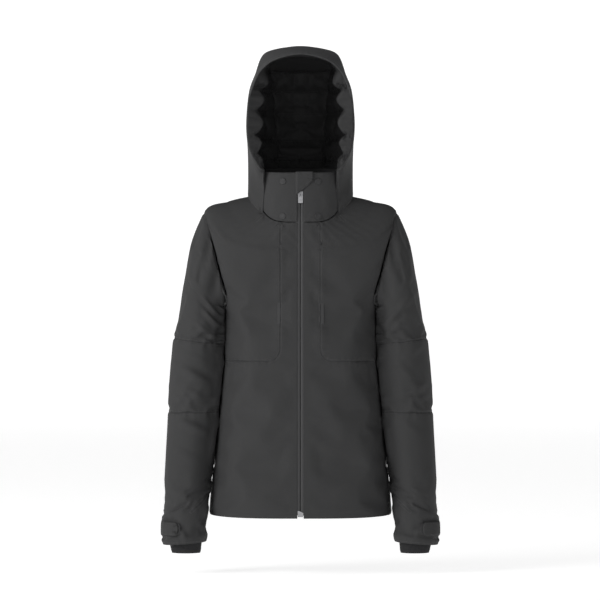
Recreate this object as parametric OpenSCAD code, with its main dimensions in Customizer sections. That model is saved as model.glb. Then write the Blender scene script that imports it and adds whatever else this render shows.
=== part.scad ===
// Insulated hooded ski jacket, sewn from separate panels. Millimetres, +Z up, the front faces -Y.
// The origin is the top of the hang loop's gap inside the back neck, where a hook takes the weight.

/* [Body] */
// Drop from the neck point to the hem
hem_drop = 664; // [650:1:676]
// Half width of the hem
hem_half = 191; // [186:0.5:192]
// Half width at the waist
waist_half = 161.5; // [158:0.5:165]
// Half width under the arms
chest_half = 163; // [160:1:166]
// Half width at the shoulder tips
shoulder_half = 203; // [200:1:205]
// Depth of the front at the hem, from the side seam
hem_front = 128; // [122:1:132]
// Depth of the back at the hem
hem_back = 112; // [104:1:118]

/* [Neck and collar] */
// Half width of the neck seam
neck_half = 95; // [92:1:97]
// Depth of the back neck
neck_back = 74; // [70:1:77]
// Height of the collar's front edge above the origin
collar_top = 57; // [52:1:60]

/* [Cloth] */
// Thickness of the outer shell fabric
shell = 1.6; // [1.4:0.1:1.8]
// Thickness of the lining
lining = 1.2; // [1:0.1:1.4]
// Thickness of the padding
padding = 2.2; // [1.8:0.1:2.4]
// Width of the open groove where two panels meet
seam = 1; // [0.8:0.1:1.2]

/* [Zips] */
// Half width of the strip of front zip that shows
zip_strip = 7; // [6.6:0.1:7.4]
// Distance of the chest pocket zips from the centre front
pocket_x = 42; // [40:1:46]

/* [Hidden] */
CHARCOAL = [0.22, 0.22, 0.225];
DARK = [0.13, 0.13, 0.135];
BLACK = [0.06, 0.06, 0.065];
STEEL = [0.55, 0.55, 0.56];

// ---- Curves and surfaces ----

// Catmull-Rom through the rows of a table, at row number v.
function between(a, b, c, d, t) = 0.5 * (2 * b + (c - a) * t
    + (2 * a - 5 * b + 4 * c - d) * t * t + (3 * b - a - 3 * c + d) * t * t * t);
function row(table, v) = let (n = len(table) - 1, i = max(0, min(floor(v), n - 1)))
    between(table[max(0, i - 1)], table[i], table[i + 1], table[min(n, i + 2)], v - i);
// A curve through points, u from 0 to 1.
function curve(points, u) = row(points, u * (len(points) - 1));
function power(x, e) = sign(x) * pow(abs(x), e);
function mix(a, b, t) = a + (b - a) * t;
function steps(a, b, n) = [for (i = [0:n]) mix(a, b, i / n)];

// A surface's point at (u, v), moved by off along its normal.
function lifted(f, u, v, off, e = 0.02) = let (
        n = cross(f(u + e, v) - f(u - e, v), f(u, v + e) - f(u, v - e)))
    f(u, v) + n / norm(n) * off;

// A sheet of cloth between two offsets of a surface. grid is rows of [u, v], closed joins the ends of each row.
module sheet(f, grid, outside, inside, closed = false) {
    rows = len(grid);
    cols = len(grid[0]);
    layers = [for (off = [outside, inside]) for (r = grid) for (p = r) lifted(f, p[0], p[1], off)];
    last = closed ? cols - 1 : cols - 2;
    function id(layer, r, c) = layer * rows * cols + r * cols + c % cols;
    skin = [for (r = [0:rows - 2]) for (c = [0:last]) for (t = [
        [id(0, r, c), id(0, r, c + 1), id(0, r + 1, c + 1)], [id(0, r, c), id(0, r + 1, c + 1), id(0, r + 1, c)],
        [id(1, r, c), id(1, r + 1, c + 1), id(1, r, c + 1)], [id(1, r, c), id(1, r + 1, c), id(1, r + 1, c + 1)]]) t];
    ends = [for (c = [0:last]) for (t = [
        [id(0, 0, c), id(1, 0, c), id(1, 0, c + 1)], [id(0, 0, c), id(1, 0, c + 1), id(0, 0, c + 1)],
        [id(0, rows - 1, c), id(1, rows - 1, c + 1), id(1, rows - 1, c)],
        [id(0, rows - 1, c), id(0, rows - 1, c + 1), id(1, rows - 1, c + 1)]]) t];
    sides = closed ? [] : [for (r = [0:rows - 2]) for (t = [
        [id(0, r, 0), id(0, r + 1, 0), id(1, r + 1, 0)], [id(0, r, 0), id(1, r + 1, 0), id(1, r, 0)],
        [id(0, r, cols - 1), id(1, r + 1, cols - 1), id(0, r + 1, cols - 1)],
        [id(0, r, cols - 1), id(1, r, cols - 1), id(1, r + 1, cols - 1)]]) t];
    polyhedron(layers, concat(skin, ends, sides));
}
// The shapes are set out from the middle of the neck opening, then moved so that the hook is the origin.
hook = [0, 54, 16];
module placed() translate(-hook) children();
// The wearer's left is +X. A right-hand piece is the left one mirrored.
module side_of(name) {
    if (name == "left") children();
    else mirror([1, 0, 0]) children();
}

// ---- Body surface ----

// The centre front is one straight line, so that the zip runs true: its depth at a height.
front_neck = 84;
neck_front_z = -48;
front_slope = (hem_front - front_neck) / (hem_drop + neck_front_z);
front_tilt = atan(front_slope);
function front_depth(z) = front_neck + front_slope * (neck_front_z - z);

// Rows from hem to neck: height at front, side and back, half width, back depth, squareness.
HEM = 0;
BUST = 3;
ARMPIT = 4;
TIP = 6;
NECK = 8;
body_rows = [
    [-hem_drop, -hem_drop + 3, -hem_drop - 4, hem_half, hem_back, 2.5],
    [-hem_drop * 0.84, -hem_drop * 0.84, -hem_drop * 0.84, mix(hem_half, waist_half, 0.29), hem_back - 4, 2.5],
    [-450, -450, -450, waist_half + 10.5, 96, 2.5],
    [-330, -330, -330, waist_half, 98, 2.5],
    [-235, -226, -232, chest_half, 104, 2.5],
    [-166, -124, -150, shoulder_half - 4, 112, 2.5],
    [-104, -25, -76, shoulder_half, 110, 2.4],
    [-74, -4, -28, 150, 96, 2.4],
    [neck_front_z, 11, 8, neck_half, neck_back, 2.4]
];
// A point of the body at angle q (0 centre front, 90 left side, 180 centre back, 270 right side) and row v.
body = function (q, v) let (r = row(body_rows, v), e = 2 / r[5], c = cos(q), s = sin(q), w = s * s * s * s)
    [r[3] * power(s, e),
        c > 0 ? -front_depth(r[0]) * power(c, e) : -r[4] * power(c, e),
        mix(c > 0 ? r[0] : r[2], r[1], w)];
// The angle at which the body is x from the centre at row v.
function angle_at(x, v) = let (r = row(body_rows, v)) asin(pow(x / r[3], r[5] / 2));
function half_seam(v) = let (r = row(body_rows, v)) seam / 2 / r[3] * 57.3;

// The armhole: phi 0 at the shoulder tip, 90 at the front, 180 under the arm, 270 at the back.
under_arm = 160;
arm_open = 34;
function arm_row(phi) = TIP - (TIP - ARMPIT) * min(1, (1 - cos(phi)) / (1 - cos(under_arm)));
function arm_turn(phi) = arm_open * power(sin(phi), 0.8);
armhole = function (phi) body(90 - arm_turn(phi), arm_row(phi));
// Half the angle that the armhole takes out of row v.
function armhole_half(v) = v <= ARMPIT ? arm_turn(under_arm) : v >= TIP ? 0
    : arm_turn(acos(1 - (TIP - v) / (TIP - ARMPIT) * (1 - cos(under_arm))));

// Rows that each panel is drawn at, closer together round the armhole.
upper_rows = [BUST + 0.02, 3.5, 3.98, 4.15, 4.4, 4.7, 5, 5.3, 5.6, 5.8, 5.92, 6.05, 6.4, 7, 7.5, 7.97];
lower_rows = [HEM, 0.5, 1, 1.5, 2, 2.5, BUST - 0.02];
function panel(rows, from, to, n) = [for (v = rows) [for (q = steps(from(v), to(v), n)) [q, v]]];
side_edge = function (v) 90 - armhole_half(v) - half_seam(v);
back_edge = function (v) 90 + armhole_half(v) + half_seam(v);
strip_in = function (v) angle_at(zip_strip, v);
strip_out = function (v) angle_at(pocket_x - seam * 0.7, v);
chest_in = function (v) angle_at(pocket_x + seam * 0.7, v);

module front_strip(hand) color(CHARCOAL) placed() side_of(hand)
    sheet(body, panel(upper_rows, strip_in, strip_out, 3), 0, -shell);
module chest_panel(hand) color(CHARCOAL) placed() side_of(hand)
    sheet(body, panel(upper_rows, chest_in, side_edge, 8), 0, -shell);
module front_lower(hand) color(CHARCOAL) placed() side_of(hand)
    sheet(body, panel(lower_rows, strip_in, side_edge, 10), 0, -shell);
module side_panel(hand) color(CHARCOAL) placed() side_of(hand)
    sheet(body, panel([HEM, 0.5, 1, 1.5, 2, 2.5, 3, 3.5, 3.97],
        function (v) 90 - armhole_half(v) + half_seam(v), function (v) 90 + armhole_half(v) - half_seam(v), 4), 0, -shell);
yoke_seam = 4.7;
module back_lower() color(CHARCOAL) placed()
    sheet(body, panel([HEM, 0.5, 1, 1.5, 2, 2.5, 3, 3.5, 4, 4.3, yoke_seam - 0.02],
        back_edge, function (v) 360 - back_edge(v), 18), 0, -shell);
module back_yoke() color(CHARCOAL) placed()
    sheet(body, panel([yoke_seam + 0.02, 5, 5.3, 5.6, 5.8, 5.92, 6.05, 6.4, 7, 7.5, 7.97],
        back_edge, function (v) 360 - back_edge(v), 18), 0, -shell);

// Padding and lining lie behind the shell, each with its own air gap.
air = 1.6;
padding_out = -shell - air;
bag_out = padding_out - padding - 0.3;
lining_out = bag_out - 2.2;
lining_rows = [0.12, 0.5, 1, 1.5, 2, 2.5, 3, 3.5, 4, 4.3, 4.7, 5, 5.3, 5.6, 5.8, 5.95, 6.1, 6.4, 7, 7.5, 7.9];
pad_rows = [0.12, 0.5, 1, 1.5, 2, 2.5, 3, 3.5, 4, 4.3, 4.7, 5, 5.3, 5.6, 5.8, 5.92, 6.05, 6.4, 7, 7.5, 7.9];
zip_clear = 24;
module padding_front(hand) color("gainsboro") placed() side_of(hand)
    sheet(body, panel(pad_rows, function (v) angle_at(pocket_x + 10, v),
        function (v) 86 - armhole_half(v), 8), padding_out, padding_out - padding);
module padding_back() color("gainsboro") placed()
    sheet(body, panel(pad_rows, function (v) 94 + armhole_half(v),
        function (v) 266 - armhole_half(v), 18), padding_out, padding_out - padding);
// The lining is a waistcoat: fronts and back in one below the armholes, and a front and back above them.
module torso_lining() color(BLACK) placed() {
    low = [for (v = lining_rows) if (v <= ARMPIT) v];
    high = [for (v = lining_rows) if (v > ARMPIT) v];
    sheet(body, panel(low, function (v) angle_at(zip_clear, v), function (v) 360 - angle_at(zip_clear, v), 34),
        lining_out, lining_out - lining);
    for (hand = ["left", "right"]) side_of(hand)
        sheet(body, panel(high, function (v) angle_at(zip_clear, v), function (v) 86 - armhole_half(v), 8),
            lining_out, lining_out - lining);
    sheet(body, panel(high, function (v) 94 + armhole_half(v), function (v) 266 - armhole_half(v), 16),
        lining_out, lining_out - lining);
}
// Elasticated snow skirt, hung from the lining at the waist.
skirt_rows = [
    [-590, hem_half - 34, 92, 84], [-520, waist_half - 22, 90, 76], [-440, waist_half - 19, 96, 76]
];
skirt = function (q, v) let (r = row(skirt_rows, v), c = cos(q), s = sin(q))
    [r[1] * power(s, 0.8), (c > 0 ? -r[2] : -r[3]) * power(c, 0.8), r[0]];
module powder_skirt() color(BLACK) placed()
    sheet(skirt, panel(steps(0, 2, 4), function (v) 0, function (v) 360 * 31 / 32, 31), 0, -lining, true);
// The hem's facing is a band turned up inside the shell.
module hem_facing() color(DARK) placed()
    sheet(body, panel([HEM, 0.09], function (v) angle_at(zip_clear, v),
        function (v) 360 - angle_at(zip_clear, v), 34), -shell - 0.8, -shell - 0.8 - lining);

// ---- Collar ----

// Rows of the collar: height at front, side and back, half width, back depth.
collar_rows = [
    [neck_front_z + 1, 13, 10, neck_half, neck_back],
    [6, 40, 42, neck_half - 1.5, neck_back - 1],
    [collar_top, 64, 72, neck_half - 4, neck_back - 3]
];
collar = function (q, v) let (r = row(collar_rows, v), e = 2 / 2.4, c = cos(q), s = sin(q))
    [r[3] * power(s, e), c > 0 ? -front_depth(r[0]) * power(c, e) : -r[4] * power(c, e),
        mix(c > 0 ? r[0] : r[2], r[1], s * s * s * s)];
function collar_angle(x) = asin(pow(x / neck_half, 1.2));
module collar_band(from_centre, outside, inside)
    sheet(collar, panel(steps(0, 2, 4), function (v) collar_angle(from_centre),
        function (v) 360 - collar_angle(from_centre), 32), outside, inside);
module collar_outer() color(CHARCOAL) placed() collar_band(zip_strip, 0, -shell);
module collar_lining() color(BLACK) placed() collar_band(zip_clear, -shell - 2.4, -shell - 2.4 - lining);

// ---- Front zip: x across, y into the jacket and z up the tilted centre front ----

module on_front(z) translate([0, -front_depth(z), z]) rotate([-front_tilt, 0, 0]) children();
zip_top = collar_top - 4;
zip_foot = -hem_drop + 6;
zip_length = (zip_top - zip_foot) / cos(front_tilt);
zip_gap = 0.6;
tape_y = shell + 0.9;
tape_t = 0.7;
coil_h = 1.6;
coil_w = 2.4;
module zip_tape(hand) color(DARK) placed() side_of(hand) on_front(zip_foot)
    translate([zip_gap, tape_y, 0]) cube([14, tape_t, zip_length]);
module zip_coil(hand) color(BLACK) placed() side_of(hand) on_front(zip_foot + 14)
    linear_extrude(zip_length - 16) translate([zip_gap, tape_y + tape_t])
        polygon([[0, 0.02], [coil_w, 0.02], [coil_w - 0.5, coil_h], [0.3, coil_h]]);
// The box that the two halves lock into at the hem.
module zip_bottom_box() color(STEEL) placed() on_front(zip_foot - 3) difference() {
    union() {
        translate([-5.8, -0.4, 0]) cube([11.6, tape_y - 0.2 + 0.4, 13]);
        translate([-4, tape_y - 0.3, 0]) cube([8, 1.6 + tape_t + coil_h, 2.6]);
    }
    translate([-8, -3, 15]) rotate([0, 24, 0]) cube([20, 8, 12]);
}
// Slider: front plate, back plate and the post that joins them through the slot between the tapes.
slider_z = -1;
slider_h = 18;
ear_z = 8;
module zip_slider() color(STEEL) placed() on_front(slider_z) {
    translate([-5.2, 0.1, 0]) cube([10.4, tape_y - 0.5, slider_h]);
    translate([-0.35, tape_y - 0.5, 4]) cube([0.7, tape_t + coil_h + 1.2, 8]);
    translate([-4, tape_y + tape_t + coil_h + 0.4, 1]) cube([8, 1.2, slider_h - 2]);
    for (x = [-3.2, 1.9]) translate([x, -2.6, ear_z]) difference() {
        cube([1.3, 2.8, 5]);
        translate([-1, 1.3, 2.6]) rotate([0, 90, 0]) cylinder(r = 0.75, h = 4, $fn = 24);
    }
}
// The pull hangs from a pin in the slider's two ears.
pin_z = slider_z + ear_z + 2.6;
module zip_pull() color(STEEL) placed() on_front(pin_z) {
    translate([-4.2, -1.3, 0]) rotate([0, 90, 0]) cylinder(r = 0.6, h = 8.4, $fn = 24);
    for (x = [-4.9, 3.7]) translate([x, -2, -5]) cube([1.2, 1.4, 5.8]);
    translate([0, -0.8, 0]) rotate([90, 0, 0]) linear_extrude(1.1)
        polygon([[-4.9, -17], [4.9, -17], [4.9, -3.4], [-4.9, -3.4]]);
}
// A flap from the wearer's right collar covers the slider at the top of its travel.
garage_low = 9;
garage_side = 40;
module zip_garage() color(CHARCOAL) placed() on_front(0) translate([0, -3.4, 0]) rotate([90, 0, 0]) {
    linear_extrude(shell)
        polygon([[-9, garage_low], [26, garage_side], [26, collar_top + 0.5], [-9, collar_top + 0.5]]);
    translate([-13, garage_low, -3.4]) linear_extrude(3.4 + shell) square([4, collar_top + 0.5 - garage_low]);
}
// Draft flap behind the zip, sewn to the wearer's right.
flap_y = tape_y + tape_t + coil_h + 2.6;
module zip_draft_flap() color(BLACK) placed() on_front(zip_foot + 6)
    translate([-18, flap_y, 0]) cube([34, 1.2, zip_length - 12]);

// ---- Chest pockets: a zip in the seam at pocket_x, tilted as the front is ----

pocket_low = -292;
pocket_high = -84;
pocket_turn = 4;
function pocket_depth(z) = let (v = mix(BUST, TIP, 0.5)) front_depth(z) * 0.985;
module on_pocket(z) translate([pocket_x, -pocket_depth(z), z])
    rotate([-front_tilt * 0.985, 0, 0]) rotate([0, 0, pocket_turn]) children();
module chest_zip(hand) color(BLACK) placed() side_of(hand) on_pocket(pocket_low)
    for (x = [zip_gap, -zip_gap - 6]) translate([x, tape_y + 0.7, 0]) {
        cube([6, tape_t, pocket_high - pocket_low]);
        translate([x > 0 ? 0 : 6 - 1.6, tape_t - 0.01, 0]) cube([1.6, 1, pocket_high - pocket_low]);
    }
// Hidden zip: the slider runs behind the shell, and its eye and cord pull come out through the seam.
pocket_slider_z = pocket_high - 14;
module chest_slider(hand) color(DARK) placed() side_of(hand) on_pocket(pocket_slider_z) {
    translate([-2.6, shell + 0.4, 0]) cube([5.2, 0.9, 9]);
    translate([-0.3, shell + 1.2, 2]) cube([0.6, 3.7, 5]);
    translate([-2.4, tape_y + tape_t + 2.1, 0]) cube([4.8, 0.9, 9]);
    translate([-0.3, -3, 4.6]) difference() {
        cube([0.6, 5.2, 3.6]);
        translate([-1, 1.4, 1.8]) rotate([0, 90, 0]) cylinder(r = 0.7, h = 3, $fn = 24);
    }
}
module chest_pull(hand) color(BLACK) placed() side_of(hand) on_pocket(pocket_slider_z + 6.4) {
    translate([-1.6, -1.6, 0]) rotate([0, 90, 0]) cylinder(r = 0.5, h = 3.2, $fn = 24);
    for (x = [-1.7, 0.9]) translate([x, -2.1, -5]) cube([0.8, 1, 5.5]);
    translate([0, -1.1, 0]) rotate([90, 0, 0]) linear_extrude(1) hull() {
        translate([0, -6]) square([3.4, 3], center = true);
        translate([0, -15]) circle(1.5, $fn = 24);
    }
}
// Pocket bag: a flat pouch between the padding and the lining.
bag_wide = 84;
module pocket_bag(hand) color(BLACK) placed() side_of(hand)
    sheet(body, panel([3.1, 3.5, 4, 4.4, 4.8], function (v) angle_at(pocket_x + 9, v),
        function (v) angle_at(pocket_x + bag_wide, v), 5), bag_out, bag_out - 0.8);

// ---- Small parts of the body ----

// Loop of tape sewn inside the back neck, which hangs the jacket on a hook.
loop_half = 32;
loop_wide = 8;
loop_back = 8;
module hang_loop() color(BLACK) placed() translate([0, hook[1] + loop_wide / 2, hook[2] - 4.5]) {
    rotate([90, 0, 0]) linear_extrude(loop_wide) difference() {
        square([2 * loop_half, 13], center = true);
        square([2 * loop_half - 12, 9], center = true);
    }
    for (x = [-loop_half, loop_half - 6]) translate([x, -0.01, -6.5]) cube([6, loop_back, 13]);
}
snap_x = 37;
snap_y = 76.6;
module snap_cap(z, out) translate([snap_x, -front_depth(z) * 0.953 - out, z])
    rotate([0, 0, 14]) rotate([90 - front_tilt, 0, 0]) {
        cylinder(r1 = 7, r2 = 6.2, h = 1.6, $fn = 48);
        cylinder(r = 3.4, h = 2.3, $fn = 48);
    }
module collar_snaps() color(DARK) placed() for (hand = ["left", "right"]) side_of(hand) for (z = [38, -35]) snap_cap(z, 1.5);

// ---- Sleeves ----

// Rings of the left sleeve: outermost x and z, innermost x and z, half depth, centre y.
arm_rings = [
    [228, -80, 163.5, -238, 66, 0],
    [247, -158, 165, -256, 64, 0],
    [259, -226, 166.5, -277, 62, -1],
    [267, -288, 166.5, -302, 60, -2],
    [273, -364, 171, -369, 57, -6],
    [278.5, -441, 178, -441, 54, -13],
    [283.5, -515, 184.5, -500, 50, -23],
    [287.5, -590, 191, -560, 47.5, -32],
    [290, -664, 195, -615, 46.5, -40],
    [290.5, -722, 196, -716, 46, -47]
];
WRIST = len(arm_rings);
ring = function (i, phi) i <= 0 ? armhole(phi) : let (r = arm_rings[min(i, WRIST) - 1], c = cos(phi))
    [(r[0] + r[2]) / 2 + c * (r[0] - r[2]) / 2, r[5] - r[4] * sin(phi), (r[1] + r[3]) / 2 + c * (r[1] - r[3]) / 2];
arm = function (phi, k) let (i = max(0, min(floor(k), WRIST - 1)))
    between(ring(i - 1, phi), ring(i, phi), ring(i + 1, phi), ring(i + 2, phi), k - i);
arm_sides = 22;
module tube(rows, outside, inside)
    sheet(arm, panel(rows, function (v) 0, function (v) 360 - 360 / arm_sides, arm_sides - 1),
        outside, inside, true);
module sleeve_cap(hand) color(CHARCOAL) placed() side_of(hand) tube([0.12, 0.35, 0.65, 1, 1.5, 1.97], 0, -shell);
module upper_sleeve(hand) color(CHARCOAL) placed() side_of(hand) tube([2.03, 3, 3.97], 0, -shell);
module elbow_panel(hand) color(CHARCOAL) placed() side_of(hand) tube([4.03, 5, 5.97], 0, -shell);
module forearm(hand) color(CHARCOAL) placed() side_of(hand) tube([6.03, 7, 8, 8.96], 0, -shell);
cuff_in = -0.6;
module cuff_band(hand) color(CHARCOAL) placed() side_of(hand) tube([9.04, 9.5, WRIST], cuff_in, cuff_in - shell);

// Adjuster tab: sewn at the back of the cuff, it wraps round the outside to the front.
cuff_wall = function (phi, v) [243 + v + 47.2 * cos(phi), -42 - 5 * v - 46.3 * sin(phi), -668 - 52 * v];
tab_front = 72;
tab_back = -52;
module tab_strip(near, far, from, to, low, high, n)
    sheet(cuff_wall, [for (v = [low, high]) [for (phi = steps(from, to, n)) [phi, v]]], far, near);
module cuff_tab(hand) color(DARK) placed() side_of(hand) {
    tab_strip(2.2, 3.6, tab_back, tab_front - 10, 0.14, 0.64, 9);
    tab_strip(2, 4.2, tab_front - 9.6, tab_front, 0.05, 0.73, 2);
}
module cuff_patch(hand) color(BLACK) placed() side_of(hand) tab_strip(0.3, 1.5, 10, tab_front + 9, 0.16, 0.62, 6);
// Inner stretch cuff, which shows below the sleeve's end.
gaiter_rings = [
    [-690, 243.5, 38, -46, 36], [-722, 241, 33.5, -47, 33], [-740, 240, 30, -47, 30]
];
gaiter = function (phi, v) let (r = row(gaiter_rings, v)) [r[1] + r[2] * cos(phi), r[3] - r[4] * sin(phi), r[0]];
module wrist_gaiter(hand) color(DARK) placed() side_of(hand)
    sheet(gaiter, panel(steps(0, 2, 3), function (v) 0, function (v) 345, 23), 0, -1.4, true);

// ---- Hood ----

// Boundary curves of the left side panel: crown seam, face edge, collar edge and the short front edge between them.
crown_seam = [
    [79, -78, 303], [78, -30, 305], [73, 30, 298], [67, 88, 262], [61, 118, 205],
    [56, 124, 145], [51, 112, 85], [47, 94, 38], [45, 84, 15]
];
face_edge = [
    [79, -78, 303], [95, -79, 262], [107, -80, 228], [112, -80, 180], [112.5, -80, 140],
    [107, -76, 104], [92, -72, 76], [76, -70, 62]
];
collar_edge = [[45, 84, 15], [76, 66, 20], [101, 34, 21], [109, 0, 19], [105, -34, 6], [80, -68, -24]];
front_edge = [[76, -70, 62], [78, -70, 20], [80, -68, -24]];
hood_side = function (s, t) let (
        seam_side = mix(curve(crown_seam, s), curve(front_edge, s), t),
        rim_side = mix(curve(face_edge, t), curve(collar_edge, t), s),
        corners = mix(mix(crown_seam[0], crown_seam[8], s), mix(front_edge[0], front_edge[2], s), t))
    seam_side + rim_side - corners;
module hood_side_panel(hand, outside, inside, inset, n) side_of(hand)
    sheet(function (t, s) hood_side(s, t),
        [for (s = steps(0.004, 0.996, n)) [for (t = steps(inset, 1 - inset, n)) [t, s]]], outside, inside);
// Crown panel: w from -1 at the right seam to 1 at the left one, raised along the middle.
crown_rise = [17, 19, 20, 20, 16, 12, 8, 4, 2];
hood_crown = function (s, w) let (p = curve(crown_seam, s), d = curve(crown_seam, s + 0.01) - curve(crown_seam, s - 0.01),
        out = [0, -d[2], d[1]] / norm([0, -d[2], d[1]]), rise = curve(crown_rise, s) * (1 - w * w))
    [p[0] * w, p[1] + out[1] * rise, p[2] + out[2] * rise];
module hood_crown_panel(outside, inside, inset, rows, cols)
    sheet(function (u, v) hood_crown(v, u),
        [for (s = steps(0.004, 0.996, rows)) [for (w = steps(-1 + inset, 1 - inset, cols)) [w, s]]], outside, inside);
// Brim: from the face edge's top forward to its own free edge.
brim_back = [[0, -80, 321], [44, -80, 317.5], [79, -80, 303], [95, -81, 262], [107, -82, 226]];
brim_front = [[0, -118, 303], [54, -115, 291], [84, -106, 268], [100, -97, 238], [108, -87, 216]];
brim = function (u, w) let (a = curve(brim_back, abs(u)), b = curve(brim_front, abs(u)), p = mix(a, b, w))
    [sign(u) * p[0], p[1], p[2] + 5 * w * (1 - w)];
module hood_side_right() color(CHARCOAL) placed() hood_side_panel("right", 0, -shell, 0.006, 11);
module hood_side_left() color(CHARCOAL) placed() hood_side_panel("left", 0, -shell, 0.006, 11);
module hood_centre() color(CHARCOAL) placed() hood_crown_panel(0, -shell, 0.008, 16, 6);
module hood_brim() color(CHARCOAL) placed()
    sheet(function (u, v) brim(u, 1 - v), [for (v = [0, 0.5, 0.94]) [for (u = steps(-1, 1, 20)) [u, v]]], 0, -shell);
module hood_lining() color(BLACK) placed() {
    for (hand = ["left", "right"]) hood_side_panel(hand, -shell - 3, -shell - 3 - lining, 0.03, 9);
    hood_crown_panel(-shell - 3, -shell - 3 - lining, 0.06, 14, 5);
}

// ---- Drawing ----

front_strip("right");  // front_strip_right
front_strip("left");  // front_strip_left
chest_panel("right");  // chest_panel_right
chest_panel("left");  // chest_panel_left
front_lower("right");  // front_lower_right
front_lower("left");  // front_lower_left
side_panel("right");  // side_panel_right
side_panel("left");  // side_panel_left
back_lower();
back_yoke();
collar_outer();
collar_lining();
padding_front("right");  // padding_front_right
padding_front("left");  // padding_front_left
padding_back();
torso_lining();
powder_skirt();
hem_facing();
hang_loop();
collar_snaps();
zip_tape("right");  // zip_tape_right
zip_tape("left");  // zip_tape_left
zip_coil("right");  // zip_coil_right
zip_coil("left");  // zip_coil_left
zip_bottom_box();
zip_garage();
zip_draft_flap();
zip_slider();
zip_pull();
chest_zip("right");  // chest_zip_right
chest_zip("left");  // chest_zip_left
chest_slider("right");  // chest_slider_right
chest_slider("left");  // chest_slider_left
chest_pull("right");  // chest_pull_right
chest_pull("left");  // chest_pull_left
pocket_bag("right");  // pocket_bag_right
pocket_bag("left");  // pocket_bag_left
sleeve_cap("right");  // sleeve_cap_right
sleeve_cap("left");  // sleeve_cap_left
upper_sleeve("right");  // upper_sleeve_right
upper_sleeve("left");  // upper_sleeve_left
elbow_panel("right");  // elbow_panel_right
elbow_panel("left");  // elbow_panel_left
forearm("right");  // forearm_right
forearm("left");  // forearm_left
cuff_band("right");  // cuff_band_right
cuff_band("left");  // cuff_band_left
cuff_tab("right");  // cuff_tab_right
cuff_tab("left");  // cuff_tab_left
cuff_patch("right");  // cuff_patch_right
cuff_patch("left");  // cuff_patch_left
wrist_gaiter("right");  // wrist_gaiter_right
wrist_gaiter("left");  // wrist_gaiter_left
hood_side_right();
hood_side_left();
hood_centre();
hood_brim();
hood_lining();
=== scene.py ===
# Insulated hooded ski jacket, sewn up piece by piece in the order a machinist would join it.
import math

import bmesh
import bpy
import numpy as np
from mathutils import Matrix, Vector
from mathutils.kdtree import KDTree


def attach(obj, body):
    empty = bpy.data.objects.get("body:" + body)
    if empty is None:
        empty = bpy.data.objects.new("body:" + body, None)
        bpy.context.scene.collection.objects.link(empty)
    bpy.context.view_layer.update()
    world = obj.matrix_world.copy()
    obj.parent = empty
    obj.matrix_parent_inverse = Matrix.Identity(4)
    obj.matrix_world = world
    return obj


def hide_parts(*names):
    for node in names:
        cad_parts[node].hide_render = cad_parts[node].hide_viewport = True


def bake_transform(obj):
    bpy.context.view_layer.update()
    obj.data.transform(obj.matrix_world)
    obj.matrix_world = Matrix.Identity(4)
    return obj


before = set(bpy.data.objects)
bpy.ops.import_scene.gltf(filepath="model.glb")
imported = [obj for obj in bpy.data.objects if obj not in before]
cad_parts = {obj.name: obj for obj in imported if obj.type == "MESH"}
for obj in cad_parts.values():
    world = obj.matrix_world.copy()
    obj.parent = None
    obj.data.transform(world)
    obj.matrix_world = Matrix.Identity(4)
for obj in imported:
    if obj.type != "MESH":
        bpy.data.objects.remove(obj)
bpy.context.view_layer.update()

# ---- Studio ----
# The jacket hangs clear of a pale round cove: a flat floor that turns up into a low wall all round.
# One broad soft light stands far to the left, with weaker ones to the right and above.
scene = bpy.context.scene
scene.view_settings.view_transform = "Standard"


def aim(thing, at):
    thing.rotation_euler = (Vector(at) - thing.location).to_track_quat("-Z", "Y").to_euler()


def build_studio():
    floor, flat, bend, top, turns = -0.80, 10.5, 1.5, 3.4, 96
    profile = [(r, floor) for r in (0.5, 1.5, 3.0, 6.0, 9.0, flat)]
    profile += [(flat + bend * math.sin(a), floor + bend - bend * math.cos(a))
                for a in np.linspace(0.15, math.pi / 2, 10)]
    profile += [(flat + bend, top)]
    points = [(0, 0, floor)]
    points += [(r * math.sin(2 * math.pi * k / turns), r * math.cos(2 * math.pi * k / turns), z)
               for r, z in profile for k in range(turns)]
    faces = [(0, 1 + (k + 1) % turns, 1 + k) for k in range(turns)]
    faces += [(1 + i * turns + k, 1 + i * turns + (k + 1) % turns, 1 + (i + 1) * turns + (k + 1) % turns,
               1 + (i + 1) * turns + k) for i in range(len(profile) - 1) for k in range(turns)]
    mesh = bpy.data.meshes.new("cove")
    mesh.from_pydata(points, [], faces)
    mesh.polygons.foreach_set("use_smooth", [True] * len(faces))
    cove = bpy.data.objects.new("cove", mesh)
    scene.collection.objects.link(cove)
    for name, spot, size, watts, at in (
        ("key_light", (-3.4, -2.35, 1.4), 2.2, 132, (0, 0, -0.15)),
        ("fill_light", (3.2, -3.2, 0.2), 2.4, 1, (0, 0, -0.3)),
        ("top_light", (-0.2, -0.4, 3.0), 1.8, 12, (0, 0, -0.2)),
    ):
        data = bpy.data.lights.new(name, "AREA")
        data.size, data.energy = size, watts
        light = bpy.data.objects.new(name, data)
        light.location = spot
        scene.collection.objects.link(light)
        aim(light, at)
    world = bpy.data.worlds.new("room")
    world.use_nodes = True
    world.node_tree.nodes["Background"].inputs["Color"].default_value = (1.0, 1.0, 1.0, 1)
    world.node_tree.nodes["Background"].inputs["Strength"].default_value = 0.16
    scene.world = world
    camera = bpy.data.objects.new("camera", bpy.data.cameras.new("camera"))
    camera.data.lens, camera.data.sensor_width = 200, 36
    camera.location = (-0.001, -7.1, -0.226)
    scene.collection.objects.link(camera)
    aim(camera, (-0.001, 0, -0.226))
    scene.camera = camera
    return cove


cove = build_studio()


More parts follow.
